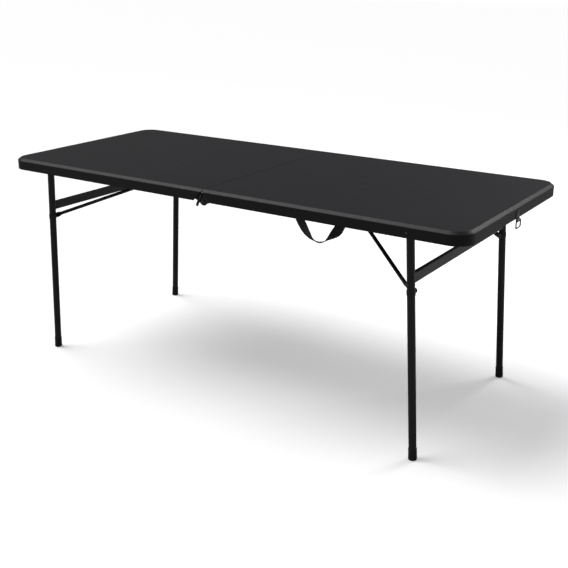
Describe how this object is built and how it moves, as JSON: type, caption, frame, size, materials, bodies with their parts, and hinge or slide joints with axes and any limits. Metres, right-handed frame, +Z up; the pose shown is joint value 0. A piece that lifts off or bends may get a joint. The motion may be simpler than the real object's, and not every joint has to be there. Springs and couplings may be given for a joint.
{
  "type": "folding table",
  "caption": "Black folding table with a moulded plastic top that folds in half, splayed tube legs, wishbone braces, a webbing carry handle and a wire latch.",
  "frame": {"origin": "on the floor under the middle of the open table", "axes": "+X along the length towards the half with the carry handle and the latch, +Z up through the top, -Y towards the edge with the carry handle"},
  "size_m": [1.8147, 0.7695, 0.732],
  "materials": {
    "top_plastic": "fine grained, satin",
    "black_steel": "satin powder coat",
    "bright_steel": "zinc plated",
    "dark_fasteners": "black zinc",
    "nylon": "moulded nylon",
    "foot_rubber": "moulded rubber",
    "webbing": "woven polypropylene webbing"
  },
  "bodies": {
    "right_half": {"front_hinge_bolt": "dark_fasteners", "handle_strap": "webbing", "handle_strap_rivets": "bright_steel", "latch_bracket": "black_steel", "latch_rivets": "dark_fasteners", "lock_lever_rivets": "dark_fasteners", "rear_hinge_bolt": "dark_fasteners", "right_axle_bushes": "nylon", "right_axle_end_screws": "dark_fasteners", "right_front_hinge_leaf": "black_steel", "right_front_rail": "black_steel", "right_hinge_rivets": "bright_steel", "right_rail_screws": "bright_steel", "right_rear_hinge_leaf": "black_steel", "right_rear_rail": "black_steel", "right_slide_track": "black_steel", "right_top": "top_plastic", "right_track_screws": "bright_steel"},
    "left_half": {"catch_hook": "black_steel", "catch_rivets": "dark_fasteners", "left_axle_bushes": "nylon", "left_axle_end_screws": "dark_fasteners", "left_front_hinge_leaf": "black_steel", "left_front_rail": "black_steel", "left_hinge_rivets": "bright_steel", "left_rail_screws": "bright_steel", "left_rear_hinge_leaf": "black_steel", "left_rear_rail": "black_steel", "left_slide_track": "black_steel", "left_top": "top_plastic", "left_track_screws": "bright_steel"},
    "right_legs": {"right_front_leg": "black_steel", "right_rear_leg": "black_steel", "right_crossbar": "black_steel", "right_axle": "bright_steel", "right_foot_caps": "foot_rubber", "right_brace_collars": "black_steel", "right_brace_studs": "dark_fasteners"},
    "right_brace_rod": {"right_brace": "black_steel"},
    "right_slider": {"right_carriage": "nylon"},
    "left_legs": {"left_front_leg": "black_steel", "left_rear_leg": "black_steel", "left_crossbar": "black_steel", "left_axle": "bright_steel", "left_foot_caps": "foot_rubber", "left_brace_collars": "black_steel", "left_brace_studs": "dark_fasteners"},
    "left_brace_rod": {"left_brace": "black_steel"},
    "left_slider": {"left_carriage": "nylon"},
    "front_lock": {"front_lock_lever": "black_steel"},
    "rear_lock": {"rear_lock_lever": "black_steel"},
    "latch_wire": {"latch_loop": "black_steel"}
  },
  "joints": [
    {"name": "centre_fold", "type": "hinge", "parent": "right_half", "child": "left_half", "pos_m": [0, 0, 0.692], "axis": [0, -1, 0], "range_deg": [0, 90]},
    {"name": "right_leg_fold", "type": "hinge", "parent": "right_half", "child": "right_legs", "pos_m": [0.7204, 0, 0.7065], "axis": [0, 1, 0], "range_deg": [0, 93.52]},
    {"name": "right_brace_swing", "type": "hinge", "parent": "right_legs", "child": "right_brace_rod", "pos_m": [0.73138, 0, 0.52804], "axis": [0, 1, 0], "range_deg": [-116.65, 0]},
    {"name": "right_slider_pivot", "type": "hinge", "parent": "right_brace_rod", "child": "right_slider", "pos_m": [0.31297, 0, 0.704], "axis": [0, 1, 0], "range_deg": [0, 23.13]},
    {"name": "left_leg_fold", "type": "hinge", "parent": "left_half", "child": "left_legs", "pos_m": [-0.7204, 0, 0.7065], "axis": [0, -1, 0], "range_deg": [0, 93.52]},
    {"name": "left_brace_swing", "type": "hinge", "parent": "left_legs", "child": "left_brace_rod", "pos_m": [-0.73138, 0, 0.52804], "axis": [0, -1, 0], "range_deg": [-116.65, 0]},
    {"name": "left_slider_pivot", "type": "hinge", "parent": "left_brace_rod", "child": "left_slider", "pos_m": [-0.31297, 0, 0.704], "axis": [0, -1, 0], "range_deg": [0, 23.13]},
    {"name": "front_lock_swing", "type": "hinge", "parent": "right_half", "child": "front_lock", "pos_m": [-0.007, 0, 0.711], "axis": [0, -1, 0], "range_deg": [0, 15]},
    {"name": "rear_lock_swing", "type": "hinge", "parent": "right_half", "child": "rear_lock", "pos_m": [-0.007, 0, 0.711], "axis": [0, -1, 0], "range_deg": [0, 15]},
    {"name": "latch_swing", "type": "hinge", "parent": "right_half", "child": "latch_wire", "pos_m": [0.9036, 0, 0.686], "axis": [0, -1, 0], "range_deg": [-15, 150]}
  ],
  "couplings": [
    {"joint": "right_brace_swing", "follows": "right_leg_fold", "ratio": -1.2473},
    {"joint": "right_slider_pivot", "follows": "right_leg_fold", "ratio": 0.24727},
    {"joint": "left_brace_swing", "follows": "left_leg_fold", "ratio": -1.2473},
    {"joint": "left_slider_pivot", "follows": "left_leg_fold", "ratio": 0.24727}
  ]
}
